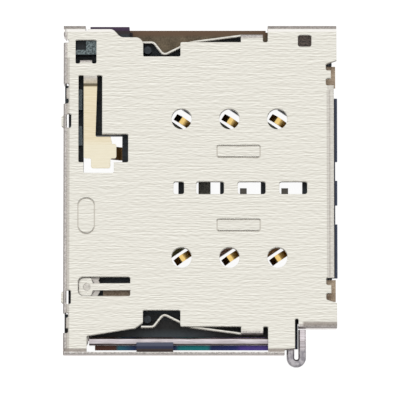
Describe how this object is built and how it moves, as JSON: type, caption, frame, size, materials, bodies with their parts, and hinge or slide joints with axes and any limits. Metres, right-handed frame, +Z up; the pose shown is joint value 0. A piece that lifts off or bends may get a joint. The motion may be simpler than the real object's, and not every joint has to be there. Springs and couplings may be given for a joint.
{
  "type": "sim card reader",
  "caption": "Flat stamped-metal reader for a nano SIM tray, with spring contacts, detent leaf springs and a push rod and lever that eject the tray.",
  "frame": {"origin": "middle of the stamped shell's outline, on the seating plane of the underside", "axes": "+X out of the tray mouth, +Y away from the eject rod, +Z up from the board to the shell's top"},
  "size_m": [0.0147, 0.0181, 0.0016],
  "materials": {
    "shell_steel": "rolled, fine lines along X",
    "housing_plastic": "moulded, matt",
    "frame_steel": "satin",
    "contact_plating": "gold plated",
    "rod_steel": "satin",
    "lever_steel": "satin",
    "pin_steel": "turned"
  },
  "bodies": {
    "reader": {"top_shell": "shell_steel", "housing": "housing_plastic", "base_frame": "frame_steel", "contact_far_back": "contact_plating", "contact_far_mid": "contact_plating", "contact_far_front": "contact_plating", "contact_near_back": "contact_plating", "contact_near_mid": "contact_plating", "contact_near_front": "contact_plating", "detect_terminal": "contact_plating", "lever_pin": "pin_steel"},
    "rod": {"eject_rod": "rod_steel"},
    "lever": {"eject_lever": "lever_steel"}
  },
  "joints": [
    {"name": "rod_slide", "type": "slide", "parent": "reader", "child": "rod", "axis": [1, 0, 0], "range_m": [0, 0.0014]},
    {"name": "lever_pivot", "type": "hinge", "parent": "reader", "child": "lever", "pos_m": [-0.006, -0.0051, 0], "axis": [0, 0, 1], "range_deg": [0, 28.5]}
  ],
  "couplings": [
    {"joint": "lever_pivot", "follows": "rod_slide", "rad_per_m": 355}
  ]
}
